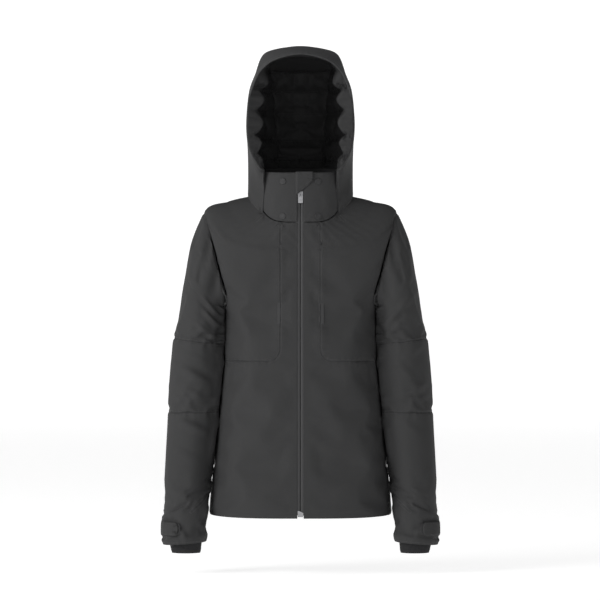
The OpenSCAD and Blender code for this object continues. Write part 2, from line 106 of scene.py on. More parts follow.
# ---- Finishes ----
# The shell is a matt coated plain weave over thin wadding. It creases softly and its seams are topstitched.
# Finishes are worked out along each panel's own length and width, so they move with the cloth.
class Wire:
    """A shader socket: sums on it add Math nodes."""

    def __init__(self, tree, socket=None):
        self.tree, self.socket = tree, socket

    def node(self, kind, settings=None, values=None, out=0):
        made = self.tree.nodes.new(kind)
        for key, value in (settings or {}).items():
            if key == "stops":
                for stop, (at, tone) in zip(made.color_ramp.elements, value):
                    stop.position, stop.color = at, tone
            else:
                setattr(made, key, value)
        for key, value in (values or {}).items():
            if isinstance(value, Wire):
                self.tree.links.new(value.socket, made.inputs[key])
            else:
                made.inputs[key].default_value = value
        return Wire(self.tree, made.outputs[out])

    def sum(self, operation, *terms):
        return self.node("ShaderNodeMath", {"operation": operation}, dict(enumerate(terms)))

    def __add__(self, other):
        return self.sum("ADD", self, other)

    def __sub__(self, other):
        return self.sum("SUBTRACT", self, other)

    def __rsub__(self, other):
        return self.sum("SUBTRACT", other, self)

    def __mul__(self, other):
        return self.sum("MULTIPLY", self, other)

    def __truediv__(self, other):
        return self.sum("DIVIDE", self, other)

    __radd__, __rmul__ = __add__, __mul__

    def step(self, low, high):
        """0 below low, 1 above high, eased between; low may be the larger."""
        return self.node("ShaderNodeMapRange", {"interpolation_type": "SMOOTHSTEP"},
                         {"Value": self, "From Min": low, "From Max": high})

    def tint(self, dark, light):
        return self.node("ShaderNodeMix", {"data_type": "RGBA"},
                         {0: self, 6: (*dark, 1), 7: (*light, 1)}, out=2)


def finish(name, roughness=0.7, glint=0.15, **fixed):
    """A new material: its shader node, and a Wire to draw the rest with."""
    made = bpy.data.materials.new(name)
    made.use_nodes = True
    tree = made.node_tree
    shader = tree.nodes["Principled BSDF"]
    shader.inputs["Roughness"].default_value = roughness
    for key, value in fixed.items():
        shader.inputs[key.replace("_", " ")].default_value = value
    shader.inputs["Specular IOR Level"].default_value = glint
    return made, shader, Wire(tree)


def cloth_finish(name, tone, roughness, thread, crease, weave=1500.0, stitch=0.0031, sheen=0.0, ribs=0.0):
    """Woven cloth: fine weave, soft creases, slight unevenness of dye, and topstitching beside each seam."""
    made, shader, pen = finish(name, roughness, Sheen_Weight=sheen, Sheen_Roughness=0.5)
    lay = pen.node("ShaderNodeUVMap", {"uv_map": "lay"})
    across = lay.node("ShaderNodeSeparateXYZ", values={0: lay})
    along = Wire(pen.tree, across.socket.node.outputs[1])
    gap = pen.node("ShaderNodeAttribute", {"attribute_name": "seam"}, out=2)
    run = pen.node("ShaderNodeAttribute", {"attribute_name": "run"}, out=2)
    dye = pen.node("ShaderNodeTexNoise", {}, {"Vector": lay, "Scale": 14.0, "Detail": 4.0, "Roughness": 0.6})
    slub = pen.node("ShaderNodeTexNoise", {}, {"Vector": lay, "Scale": 420.0, "Detail": 2.0})
    rumple = pen.node("ShaderNodeTexNoise", {},
                      {"Vector": lay, "Scale": 34.0, "Detail": 3.0, "Roughness": 0.45, "Distortion": 0.6})
    warp = (across * weave).sum("SINE", across * weave)
    weft = (along * weave).sum("SINE", along * weave)
    line = (gap - stitch).sum("ABSOLUTE", gap - stitch).step(0.0009, 0.0002)
    dash = (run / 0.0034).sum("FRACT", run / 0.0034)
    dash = dash.step(0.08, 0.16) * dash.step(0.92, 0.84)
    topstitch = line * dash
    pucker = gap.step(0.016, 0.002) * (run * 420.0).sum("SINE", run * 420.0 + dye * 9.0)
    low = tuple(c * 0.95 for c in tone)
    high = tuple(c * 1.05 for c in tone)
    colour = (dye * 0.65 + slub * 0.35).step(0.3, 0.7).tint(low, high)
    colour = pen.node("ShaderNodeMix", {"data_type": "RGBA"},
                      {0: topstitch * 0.8, 6: colour, 7: (*thread, 1)}, out=2)
    pen.tree.links.new(colour.socket, shader.inputs["Base Color"])
    rough = roughness - 0.06 + dye * 0.12 - topstitch * 0.1
    pen.tree.links.new(rough.socket, shader.inputs["Roughness"])
    height = rumple * crease + warp * weft * 0.00002 + topstitch * 0.0004 + pucker * 0.00022
    if ribs:
        height = height + (across * ribs).sum("SINE", across * ribs) * 0.0005
    bump = pen.node("ShaderNodeBump", {}, {"Height": height, "Distance": 1.0, "Strength": 1.0})
    pen.tree.links.new(bump.socket, shader.inputs["Normal"])
    return made


shell_finish = cloth_finish("shell_cloth", (0.035, 0.035, 0.0355), 0.76, (0.052, 0.052, 0.053), 0.0006)
brim_finish = cloth_finish("brim_cloth", (0.044, 0.044, 0.045), 0.72, (0.075, 0.075, 0.075),
                           0.0003, stitch=0.0065)
lining_finish = cloth_finish("lining_taffeta", (0.0215, 0.0215, 0.022), 0.6, (0.03, 0.03, 0.031), 0.0005)
skirt_finish = cloth_finish("skirt_cloth", (0.020, 0.020, 0.021), 0.55, (0.03, 0.03, 0.03), 0.0014)
knit_finish = cloth_finish("cuff_jersey", (0.024, 0.024, 0.025), 0.85, (0.05, 0.05, 0.05),
                           0.0006, ribs=2400.0)
webbing_finish = cloth_finish("woven_tape", (0.034, 0.034, 0.035), 0.8, (0.07, 0.07, 0.07),
                              0.0002, weave=2600.0)
strip_finish = cloth_finish("zip_film", (0.050, 0.050, 0.051), 0.5, (0.06, 0.06, 0.06), 0.0002)

# ---- Cloth of the body ----
# The body is cut to a shaped tube: wide at the hem, in at the waist, out to the shoulders and in to the neck.
# Its cloth is a little fuller than its seams, so it settles in soft folds between them.
HOOK = np.array([0.0, 54.0, 16.0])
HEM, ARMPIT, TIP, NECK = 0, 4, 6, 8
FRONT_SLOPE = 44 / 616
# Each row: height at the front, side and back, half width, depth behind the side seams, roundness.
BODY_ROWS = [
    [-664, -661, -668, 191, 112, 2.5],
    [-557.8, -557.8, -557.8, 182.4, 108, 2.5],
    [-450, -450, -450, 172, 96, 2.5],
    [-330, -330, -330, 161.5, 98, 2.5],
    [-235, -226, -232, 163, 104, 2.5],
    [-166, -124, -150, 199, 112, 2.5],
    [-104, -25, -76, 203, 110, 2.4],
    [-74, -1, -26, 150, 96, 2.4],
    [-48, 11, 8, 95, 74, 2.4],
]


def place(points):
    """Millimetres from the middle of the neck opening, to the row frame's metres."""
    return (np.asarray(points, float) - HOOK) / 1000


def along_rows(table, v):
    """A smooth curve through a table's rows, at row numbers v."""
    table, v = np.asarray(table, float), np.asarray(v, float)
    last = len(table) - 1
    i = np.clip(np.floor(v).astype(int), 0, last - 1)
    t = (v - i).reshape(v.shape + (1,) * (table.ndim - 1))
    a, b, c, d = table[np.maximum(i - 1, 0)], table[i], table[i + 1], table[np.minimum(i + 2, last)]
    square, cube = 2 * a - 5 * b + 4 * c - d, 3 * b - a - 3 * c + d
    return 0.5 * (2 * b + (c - a) * t + square * t ** 2 + cube * t ** 3)


def power(x, e):
    return np.sign(x) * np.abs(x) ** e


def front_depth(z):
    return 84 + FRONT_SLOPE * (-48 - z)


def round_body(r, q, roundness):
    """Points at angle q (0 front, 90 left, 180 back) on rows r of heights, half width and depth."""
    s, c = np.sin(np.radians(q)), np.cos(np.radians(q))
    e, w = 2 / roundness, np.sin(np.radians(q)) ** 4
    depth = np.where(c > 0, front_depth(r[..., 0]), r[..., 4])
    level = np.where(c > 0, r[..., 0], r[..., 2])
    return np.stack([r[..., 3] * power(s, e), -depth * power(c, e), level * (1 - w) + r[..., 1] * w], -1)


def body(q, v):
    r = along_rows(BODY_ROWS, v)
    return round_body(r, q, r[..., 5])


def angle_at(x, v):
    r = along_rows(BODY_ROWS, v)
    return np.degrees(np.arcsin((x / r[..., 3]) ** (r[..., 5] / 2)))


def arm_turn(phi):
    return 34 * power(np.sin(np.radians(phi)), 0.8)


def armhole_half(v):
    v = np.clip(v, ARMPIT, TIP)
    phi = np.degrees(np.arccos(np.clip(1 - (TIP - v) / 2 * (1 - math.cos(math.radians(160))), -1, 1)))
    return arm_turn(phi)


def patch(q0, q1, v0, v1, rows, cols):
    v = np.linspace(v0, v1, rows)[:, None] * np.ones((1, cols))
    t = np.linspace(0, 1, cols)[None, :] * np.ones((rows, 1))
    return body(q0(v) + (q1(v) - q0(v)) * t, v)


def flipped(points):
    """The other side's copy, its columns turned round so that it still faces out."""
    return points[:, ::-1] * np.array([-1.0, 1, 1])


def settle(blocks, pins, grow, pressure, stiff=3.0, frames=22, cap=12.0, weight=1.0):
    """Blocks of cloth that share edges are let settle between their pins by Blender's cloth simulation."""
    index, points, hold, faces, numbers = {}, [], [], [], []
    for block, pin in zip(blocks, pins):
        rows, cols = block.shape[:2]
        ids = np.zeros((rows, cols), int)
        for r in range(rows):
            for c in range(cols):
                key = tuple(np.round(block[r, c], 2))
                if key not in index:
                    index[key] = len(points)
                    points.append(block[r, c])
                    hold.append(0.0)
                ids[r, c] = index[key]
                hold[ids[r, c]] = max(hold[ids[r, c]], float(pin[r, c]))
        numbers.append(ids)
        for r in range(rows - 1):
            for c in range(cols - 1):
                face = [ids[r, c], ids[r, c + 1], ids[r + 1, c + 1], ids[r + 1, c]]
                face = list(dict.fromkeys(int(i) for i in face))
                if len(face) > 2:
                    faces.append(face)
    points = np.array(points)
    mesh = bpy.data.meshes.new("settling")
    mesh.from_pydata(place(points).tolist(), [], faces)
    cloth = bpy.data.objects.new("settling", mesh)
    scene.collection.objects.link(cloth)
    group = cloth.vertex_groups.new(name="held")
    for i, w in enumerate(hold):
        if w > 0:
            group.add([i], w, "REPLACE")
    modifier = cloth.modifiers.new("cloth", "CLOTH")
    s = modifier.settings
    s.quality, s.mass, s.air_damping = 5, 0.25, 2.0
    s.tension_stiffness = s.compression_stiffness = 25
    s.shear_stiffness, s.bending_stiffness = 8, stiff
    s.vertex_group_mass, s.pin_stiffness = "held", 4.0
    s.shrink_min = -grow
    s.use_pressure, s.uniform_pressure_force = True, pressure
    s.effector_weights.gravity = weight
    modifier.point_cache.frame_start, modifier.point_cache.frame_end = 1, frames
    for f in range(1, frames + 1):
        scene.frame_set(f)
    settled = cloth.evaluated_get(bpy.context.evaluated_depsgraph_get())
    moved = np.array([v.co[:] for v in settled.data.vertices]) * 1000 + HOOK - points
    scene.frame_set(1)
    bpy.data.objects.remove(cloth, do_unlink=True)
    bpy.data.meshes.remove(mesh)
    moved = np.nan_to_num(moved)
    far = np.linalg.norm(moved, axis=1, keepdims=True)
    points = points + moved * np.minimum(1, cap / np.maximum(far, 1e-6))
    return [points[ids] for ids in numbers]


def sample(grid, t, v):
    """Points of a settled block at t across and v up it, each from 0 to 1."""
    def reach(x, n):
        x = np.clip(x, 0, 1) * (n - 1)
        i = np.clip(np.floor(x).astype(int), 0, n - 2)
        f = x - i
        ids = np.stack([np.maximum(i - 1, 0), i, i + 1, np.minimum(i + 2, n - 1)], -1)
        w = [-0.5 * f + f ** 2 - 0.5 * f ** 3, 1 - 2.5 * f ** 2 + 1.5 * f ** 3,
             0.5 * f + 2 * f ** 2 - 1.5 * f ** 3, -0.5 * f ** 2 + 0.5 * f ** 3]
        return ids, np.stack(w, -1)
    ci, cw = reach(t, grid.shape[1])
    ri, rw = reach(v, grid.shape[0])
    return np.einsum("...a,...b,...abk->...k", rw, cw, grid[ri[..., :, None], ci[..., None, :]])


def outward(grid):
    """Unit normals of a grid of points."""
    n = np.cross(np.gradient(grid, axis=1), np.gradient(grid, axis=0))
    return n / np.maximum(np.linalg.norm(n, axis=-1, keepdims=True), 1e-9)


def crease(grid, folds, facing=-1):
    """Adds folds: each a line from (x, z) to (x, z), its width and height, facing front or back."""
    normal = outward(grid)
    lift = np.zeros(grid.shape[:2])
    for x0, z0, x1, z1, width, height in folds:
        line = np.array([x1 - x0, z1 - z0], float)
        length = np.linalg.norm(line)
        line /= length
        d = grid[..., [0, 2]] - np.array([x0, z0])
        s = (d @ line) / length
        p = d @ np.array([-line[1], line[0]])
        taper = np.sin(np.pi * np.clip(s, 0, 1)) ** 0.8
        hollow = 0.45 * np.exp(-((p - 1.9 * width) / width) ** 2)
        lift += height * taper * (np.exp(-(p / width) ** 2) - hollow)
    return grid + normal * (lift * np.clip(facing * normal[..., 1] * 1.6, 0, 1))[..., None]


def finer(grid, rows, cols):
    """The same cloth on a finer grid."""
    return sample(grid, np.linspace(0, 1, cols)[None, :] + np.zeros((rows, 1)),
                  np.linspace(0, 1, rows)[:, None] + np.zeros((1, cols)))


def edge_fine(count, length, fine=(1.2, 2.6, 4.6, 7.5)):
    """Steps from 0 to 1 along a length in millimetres, closer together at both ends."""
    ends = [0] + [f / length for f in fine]
    middle = np.linspace(ends[-1], 1 - ends[-1], count)[1:-1]
    return np.array(ends + list(middle) + [1 - e for e in ends[::-1]])


q_zip = lambda v: angle_at(6.6, v)
q_side = lambda v: 90 - armhole_half(v)
q_back = lambda v: 90 + armhole_half(v)
front_cut = patch(q_zip, q_side, HEM, NECK, 81, 27)
side_cut = patch(q_side, q_back, HEM, ARMPIT, 41, 6)
back_cut = patch(q_back, lambda v: 360 - q_back(v), HEM, NECK, 81, 47)
level = np.linspace(HEM, NECK, 81)[:, None]
open_arm = ((level > 3.95) & (level < 6.05)) * 1.0
front_pin = np.zeros((81, 27))
front_pin[:, 0] = front_pin[:, 1] = front_pin[80] = front_pin[0] = 1
front_pin[:, 26] = np.maximum(open_arm[:, 0], 0.8)
front_pin[[1, 79]] = 0.6
front_pin[62:80] = np.maximum(front_pin[62:80], 0.35)
side_pin = np.zeros((41, 6))
side_pin[:, [0, 5]] = 0.8
side_pin[[0, 40]] = 1
back_pin = np.zeros((81, 47))
back_pin[:, 0] = back_pin[:, 46] = np.maximum(open_arm[:, 0], 0.8)
back_pin[0] = back_pin[80] = 1
back_pin[47] = 0.4
front_l, side_l, back, side_r, front_r = settle(
    [front_cut, side_cut, back_cut, flipped(side_cut), flipped(front_cut)],
    [front_pin, side_pin, back_pin, side_pin[:, ::-1], front_pin[:, ::-1]],
    grow=0.008, pressure=1.3, stiff=9.0, cap=6.0, weight=0.2)
front_l, front_r, back = finer(front_l, 241, 79), finer(front_r, 241, 79), finer(back, 241, 139)
side_l, side_r = finer(side_l, 121, 16), finer(side_r, 121, 16)
# Broad slanting folds over the lower fronts, and short ones that run in from the armholes.
front_r = crease(front_r, [(-150, -430, -30, -560, 20, 1.3), (-140, -520, -40, -620, 18, 1.0),
                           (-20, -400, -110, -470, 16, 0.8), (-160, -250, -100, -292, 11, 1.6),
                           (-26, -66, -12, -92, 5, 1.3), (-30, -84, -14, -112, 6, 1.0)])
front_l = crease(front_l, [(150, -400, 36, -540, 20, 1.8), (168, -500, 60, -640, 18, 1.5),
                           (20, -420, 96, -360, 15, 0.8), (158, -240, 92, -286, 11, 1.6),
                           (14, -60, 32, -96, 6, 1.4)])


def pocket_ridge(grid):
    """The pocket zips lift the cloth a little along their seams."""
    x, z = np.abs(grid[..., 0]), grid[..., 2]
    length = np.clip((z + 335) / 30, 0, 1) * np.clip((-50 - z) / 30, 0, 1)
    lift = 1.9 * np.exp(-((x - 42) / 10) ** 2) * length
    return grid + outward(grid) * lift[..., None]


front_l, front_r = pocket_ridge(front_l), pocket_ridge(front_r)
back = crease(back, [(-150, -330, 40, -380, 20, 3.0), (150, -350, -20, -420, 20, 2.6),
                     (-130, -210, -60, -270, 16, 2.6), (130, -210, 60, -270, 16, 2.6)], facing=1)

# ---- Sewn panels of the body ----
# Each front is a chest panel with a rounded lower corner, let into a lower front that runs up beside the zip.
# A side panel and a back with a yoke close the body. Edges are turned in, joined and topstitched.
CHEST_LOW, CORNER_TOP, YOKE = 2.93, 3.18, 4.7


def chest_edge(v):
    h = np.clip((CORNER_TOP - v) / (CORNER_TOP - CHEST_LOW), 0, 1)
    return 42 + 25 * (1 - np.sqrt(1 - h ** 2))


def across_front(x, v):
    return (angle_at(x, v) - q_zip(v)) / (q_side(v) - q_zip(v))


def seam_tree(seams):
    """A search tree over the points of seam lines, with each point's distance along its line."""
    points = np.concatenate(seams)
    steps = [np.linalg.norm(np.diff(seam, axis=0), axis=1) for seam in seams]
    runs = np.concatenate([np.concatenate([[0], np.cumsum(step)]) for step in steps])
    tree = KDTree(len(points))
    for i, p in enumerate(points):
        tree.insert(p, i)
    tree.balance()
    return tree, runs


def seam_depth(p):
    """How deep seams draw in: slightly beside the zip and over the shoulder's tip, most round the armhole."""
    x, z = np.abs(p[:, 0]), p[:, 2]
    tip = np.where(x > 175, np.clip((-44 - z) / 60, 0.1, 1), 1.0)
    hole = 1 + 0.5 * np.clip((x - 150) / 10, 0, 1) * np.clip((z + 250) / 20, 0, 1)
    below_arm = np.clip((204 - x) / 12, 0, 1) * np.clip((-236 - z) / 12, 0, 1) * np.clip((x - 140) / 10, 0, 1)
    under = 1 - 0.9 * below_arm
    neck = np.where((x < 96) & (z > -56), 0.4, 1.0)
    return tip * hole * under * neck * np.clip((x - 20) / 100, 0.35, 1.0)


def sewn(name, grids, seams, cloth, thick=1.8, tuck=2.2, reach=3.2, closed=False, depth=None):
    """A panel of cloth from grids of points, drawn in along the seams, its thickness inside."""
    points, faces, lay, gaps, runs = [], [], [], [], []
    for grid in grids:
        rows, cols = grid.shape[:2]
        normal = outward(grid)
        if closed:
            normal = outward(np.concatenate([grid[:, -3:-1], grid, grid[:, 1:3]], 1))[:, 2:-2]
        flat = grid.reshape(-1, 3)
        gap = np.full(len(flat), 99.0)
        run = np.zeros(len(flat))
        if seams is not None:
            tree, lengths = seams
            for i, p in enumerate(flat):
                _, j, d = tree.find(p)
                gap[i], run[i] = d, lengths[j]
        drawn = tuck * np.exp(-(gap / reach) ** 2) * (depth(flat) if depth else 1)
        moved = flat - normal.reshape(-1, 3) * drawn[:, None]
        across, up = (np.linalg.norm(np.diff(grid, axis=a), axis=2) for a in (1, 0))
        u = np.concatenate([np.zeros((rows, 1)), np.cumsum(across, 1)], 1)
        v = np.concatenate([np.zeros((1, cols)), np.cumsum(up, 0)], 0)
        u = u - u[:, cols // 2][:, None] + u[rows // 2, cols // 2]
        start = len(points)
        points.extend(place(moved).tolist())
        lay.extend(np.stack([u, v], -1).reshape(-1, 2) / 1000)
        gaps.extend(gap / 1000)
        runs.extend(run / 1000)
        faces.extend((start + r * cols + c, start + r * cols + c + 1, start + (r + 1) * cols + c + 1,
                      start + (r + 1) * cols + c) for r in range(rows - 1) for c in range(cols - 1))
    mesh = bpy.data.meshes.new(name)
    mesh.from_pydata(points, [], faces)
    mesh.polygons.foreach_set("use_smooth", [True] * len(faces))
    uv = mesh.uv_layers.new(name="lay")
    corner = np.array([loop.vertex_index for loop in mesh.loops])
    uv.data.foreach_set("uv", np.array(lay)[corner].ravel())
    for title, numbers in (("seam", gaps), ("run", runs)):
        mesh.attributes.new(title, "FLOAT", "POINT").data.foreach_set("value", np.array(numbers, "f"))
    knit = bmesh.new()
    knit.from_mesh(mesh)
    bmesh.ops.remove_doubles(knit, verts=knit.verts, dist=0.00006)
    knit.to_mesh(mesh)
    knit.free()
    piece = bpy.data.objects.new(name, mesh)
    scene.collection.objects.link(piece)
    if thick:
        wall = piece.modifiers.new("thickness", "SOLIDIFY")
        wall.thickness, wall.offset = thick / 1000, -1
    mesh.materials.append(cloth)
    return piece


line_v = np.linspace(0, 1, 620)
torso_seams = []
for hand, front, side in ((1, front_l, side_l), (-1, front_r, side_r)):
    turn = (lambda t: t) if hand == 1 else (lambda t: 1 - t)
    vv = CHEST_LOW + (NECK - CHEST_LOW) * (1 - np.cos(line_v * math.pi / 2))
    torso_seams.append(sample(front, turn(across_front(chest_edge(vv), vv)), vv / NECK))
    tt = np.linspace(float(across_front(67, np.array(CHEST_LOW))), 1, 130)
    torso_seams.append(sample(front, turn(tt), np.full(130, CHEST_LOW / NECK)))
    torso_seams.append(sample(front, turn(np.ones(620)), line_v))
    torso_seams.append(sample(back, turn(np.zeros(620)), line_v))
    torso_seams.append(sample(front, turn(np.linspace(0, 1, 300)), np.ones(300)))
    vv = np.linspace(7.86, 7.42, 60)
    torso_seams.append(sample(front, turn(across_front(np.linspace(78, 93, 60), vv)), vv / NECK))
    torso_seams.append(sample(side, turn(np.linspace(0, 1, 60)), np.ones(60)))
torso_seams.append(sample(back, np.linspace(0, 1, 420), np.full(420, YOKE / NECK)))
torso_seams.append(sample(back, np.linspace(0, 1, 300), np.ones(300)))
torso_tree = seam_tree(torso_seams)

for hand, front, side in (("left", front_l, side_l), ("right", front_r, side_r)):
    turn = (lambda t: t) if hand == "left" else (lambda t: (1 - t)[:, ::-1])
    v = (CHEST_LOW + (NECK - CHEST_LOW) * edge_fine(80, 330) ** 1.12)[:, None]
    t = edge_fine(34, 150)[None, :]
    left_edge = across_front(chest_edge(v), v)
    spread = left_edge + (1 - left_edge) * t
    chest_grid = sample(front, turn(spread), v / NECK + 0 * t)
    chest = sewn("chest_panel_cloth_" + hand, [chest_grid], torso_tree, shell_finish, depth=seam_depth)
    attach(chest, "torso")
    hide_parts("chest_panel_" + hand, "padding_front_" + hand, "pocket_bag_" + hand)

    inner = edge_fine(9, 80, fine=(1.2, 2.6, 4.6))[None, :]
    outer = edge_fine(24, 90)[None, 1:]
    low = (CHEST_LOW * edge_fine(70, 325))[:, None]
    split = across_front(67, low)
    t_low = np.concatenate([inner * split, split + (1 - split) * outer], 1)
    t_up = inner * left_edge
    fronts = [sample(front, turn(t), v / NECK + 0 * t) for t, v in ((t_low, low), (t_up, v))]
    lower = sewn("lower_front_cloth_" + hand, fronts, torso_tree, shell_finish, depth=seam_depth)
    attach(lower, "torso")
    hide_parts("front_lower_" + hand, "front_strip_" + hand)

    t = edge_fine(6, 60, fine=(1.2, 2.6, 4.6))[None, :]
    v = edge_fine(86, 430)[:, None]
    flank_grid = sample(side, turn(t + 0 * v), v + 0 * t)
    flank = sewn("side_panel_cloth_" + hand, [flank_grid], torso_tree, shell_finish, depth=seam_depth)
    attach(flank, "torso")
    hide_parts("side_panel_" + hand)

t = edge_fine(70, 380)[None, :]
for name, nodes, low, high, count in (("back_cloth", ("back_lower", "padding_back"), HEM, YOKE, 90),
                                      ("back_yoke_cloth", ("back_yoke",), YOKE, NECK, 60)):
    v = (low + (high - low) * edge_fine(count, (high - low) * 105))[:, None] / NECK
    piece = sewn(name, [sample(back, t + 0 * v, v + 0 * t)], torso_tree, shell_finish, depth=seam_depth)
    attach(piece, "torso")
    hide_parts(*nodes)

# ---- Lining, hem facing and snow skirt ----
# Taffeta lining hangs inside the body, sewn in at the zip, neck and armholes, with shell cloth at the hem.
# The snow skirt is a gathered strip hung from the lining at the waist, with elastic along its foot.


def inside(grid, depth):
    return grid - outward(grid) * depth


def under(grid, t0, t1, v0, v1, rows, cols):
    t = np.linspace(t0, t1, cols)[None, :] + np.zeros((rows, 1))
    v = np.linspace(v0, v1, rows)[:, None] + np.zeros((1, cols))
    return sample(grid, t, v)


lining_grids = [inside(under(front_l, 0.09, 1, 0.012, 0.99, 70, 24), 8.5),
                inside(under(side_l, 0, 1, 0.02, 0.99, 36, 6), 8.5),
                inside(under(back, 0, 1, 0.012, 0.99, 70, 44), 8.5),
                inside(under(side_r, 0, 1, 0.02, 0.99, 36, 6), 8.5),
                inside(under(front_r, 0, 0.91, 0.012, 0.99, 70, 24), 8.5)]
body_lining = sewn("body_lining", lining_grids, None, lining_finish, thick=1.2)
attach(body_lining, "torso")
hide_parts("torso_lining")

facing_grids = [inside(under(g, a, b, 0.002, top, 8, n), 2.8) for g, a, b, top, n in (
    (front_l, 0.02, 1, 0.045, 30), (side_l, 0, 1, 0.09, 8), (back, 0, 1, 0.045, 60),
    (side_r, 0, 1, 0.09, 8), (front_r, 0, 0.98, 0.045, 30))]
hem_band = sewn("hem_band", facing_grids, None, shell_finish, thick=1.2)
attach(hem_band, "torso")
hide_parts("hem_facing")

SKIRT_ROWS = [[-590, 157, 92, 84], [-520, 138, 90, 76], [-440, 142, 96, 76]]


def skirt_cloth():
    q = np.linspace(0, 360, 241)[None, :]
    v = np.linspace(0, 2, 34)[:, None]
    r = along_rows(SKIRT_ROWS, v[:, 0])[:, None, :]
    s, c = np.sin(np.radians(q)), np.cos(np.radians(q))
    gather = 1 + 0.012 * np.sin(np.radians(q) * 46 + 1.3 * np.sin(np.radians(q) * 5)) * (1.1 - v / 2)
    x = r[..., 1] * power(s, 0.8) * gather
    y = -np.where(c > 0, r[..., 2], r[..., 3]) * power(c, 0.8) * gather
    return np.stack([x, y, r[..., 0] + 0 * q], -1)


skirt_grid = skirt_cloth()
snow_skirt = sewn("snow_skirt", [skirt_grid], None, skirt_finish, thick=0.8, closed=True)
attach(snow_skirt, "torso")
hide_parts("powder_skirt")
skirt_area = sum(p.area for p in snow_skirt.data.polygons)
skirt_area / 0.15

# ---- Collar ----
# A standing collar of shell cloth, padded and lined, sewn to the neck inside the hood.
# Its top edge is turned and topstitched.
COLLAR_ROWS = [[-47, 13, 10, 95, 74], [6, 40, 42, 93.5, 73], [57, 64, 72, 91, 71]]


def collar(q, v):
    return round_body(along_rows(COLLAR_ROWS, v), q, 2.4)


def collar_angle(x):
    return math.degrees(math.asin((x / 95) ** 1.2))


def collar_grid(start, low, high, depth, rows, cols):
    q = collar_angle(start) + (360 - 2 * collar_angle(start)) * edge_fine(cols, 520)[None, :]
    v = low + (high - low) * edge_fine(rows, 105)[:, None]
    grid = collar(q + 0 * v, v + 0 * q)
    puff = np.sin(np.clip(v / 2, 0, 1) * math.pi) ** 0.6 * 2.0
    return grid + outward(grid) * (puff - depth)[..., None]


collar_out = crease(collar_grid(6.8, 0, 2, 0.0, 20, 110),
                    [(-16, -44, -30, -26, 5, 1.6), (-26, -47, -38, -34, 5, 1.3), (16, -44, 30, -28, 5, 1.5),
                     (-62, -30, -50, 10, 8, 1.2), (60, -28, 52, 16, 8, 1.2)])
collar_in = collar_grid(22, 0.02, 1.94, 5.4, 16, 90)
collar_tree = seam_tree([collar_out[0], collar_out[-1]])
collar_piece = sewn("collar_cloth", [collar_out], collar_tree, shell_finish, thick=2.2, tuck=0.8)
collar_back = sewn("collar_lining_cloth", [collar_in], None, lining_finish, thick=1.2)
rim = np.stack([collar_out[-1] - outward(collar_out)[-1] * d + np.array([0, 0, h])
                for d, h in ((1.2, -0.2), (2.4, 1.0), (4.2, 1.0), (5.6, -0.4), (6.2, -3.0))])
collar_fold = sewn("collar_top_fold", [rim], None, shell_finish, thick=0.6)
for piece, node, title in ((collar_piece, "collar_outer", "shell"), (collar_back, "collar_lining", "lining")):
    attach(piece, "torso")
    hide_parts(node)
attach(collar_fold, "torso")

# ---- Sleeves ----
# Each sleeve is a curved tube in four panels: a cap in the armhole, an upper sleeve, an elbow and a forearm.
# A second seam runs down its inner side. The cloth gathers in short folds where the arm bends.
ARM_RINGS = [
    [228, -80, 163.5, -238, 66, 0], [247, -158, 165, -256, 64, 0], [259, -226, 160, -277, 62, -1],
    [267, -288, 158, -302, 60, -2], [273, -364, 161, -369, 57, -6], [278.5, -441, 168, -441, 54, -13],
    [283.5, -515, 176, -500, 50, -23], [287.5, -590, 185, -560, 47.5, -32],
    [290, -664, 191, -615, 46.5, -40], [290.5, -722, 196, -716, 46, -47],
]


def arm_rings(phi):
    c, s = np.cos(np.radians(phi)), np.sin(np.radians(phi))
    hole = body(90 - arm_turn(phi), TIP - 2 * np.minimum(1, (1 - c) / (1 - math.cos(math.radians(160)))))
    rings = [hole]
    for k, (ox, oz, ix, iz, depth, y) in enumerate(ARM_RINGS):
        set_back = 17 * math.sin(math.pi * k / 9.5) * np.minimum(c, 0) ** 2
        rings.append(np.stack([(ox + ix) / 2 + c * (ox - ix) / 2, y - depth * s + set_back,
                               (oz + iz) / 2 + c * (oz - iz) / 2], -1))
    return np.array(rings)


arm_cut = along_rows(arm_rings(np.linspace(0, 360, 57)), np.linspace(0, 10, 101))
arm_pin = np.zeros((101, 57))
arm_pin[[0, 1, 99, 100]] = 1
arm_pin[[40, 60, 90]] = 0.35
arm_left, = settle([arm_cut], [arm_pin], grow=0.03, pressure=3.0, stiff=3.0, frames=26, cap=5.0, weight=0.5)
arm_left = finer(arm_left, 301, 169)
arm_right = flipped(arm_left)


def beside(arm, flanks, side):
    """The sleeve where it rests against the body: its inner side follows the body's."""
    near = np.concatenate([f.reshape(-1, 3) for f in flanks])
    near = near[np.abs(near[:, 0]) > 120]
    tree = KDTree(len(near))
    for i, p in enumerate(near):
        tree.insert((0, p[1], p[2]), i)
    tree.balance()
    arm = arm.copy()
    for r, c in np.argwhere((np.abs(arm[..., 0]) < 196) & (arm[..., 2] < -226)):
        x, y, z = arm[r, c]
        widest, here = (abs(near[tree.find((0, at, z))[1], 0]) for at in (0, min(0, y)))
        rest = max(widest - 2.5, here) + 1.4
        gap, hold = abs(x) - rest, min(1, max(0, (z + 560) / 40))
        if gap < 14:
            arm[r, c, 0] = side * (rest + max(0, gap) * (1 - hold) + max(0, gap - 9) * 2.8 * hold)
    return arm


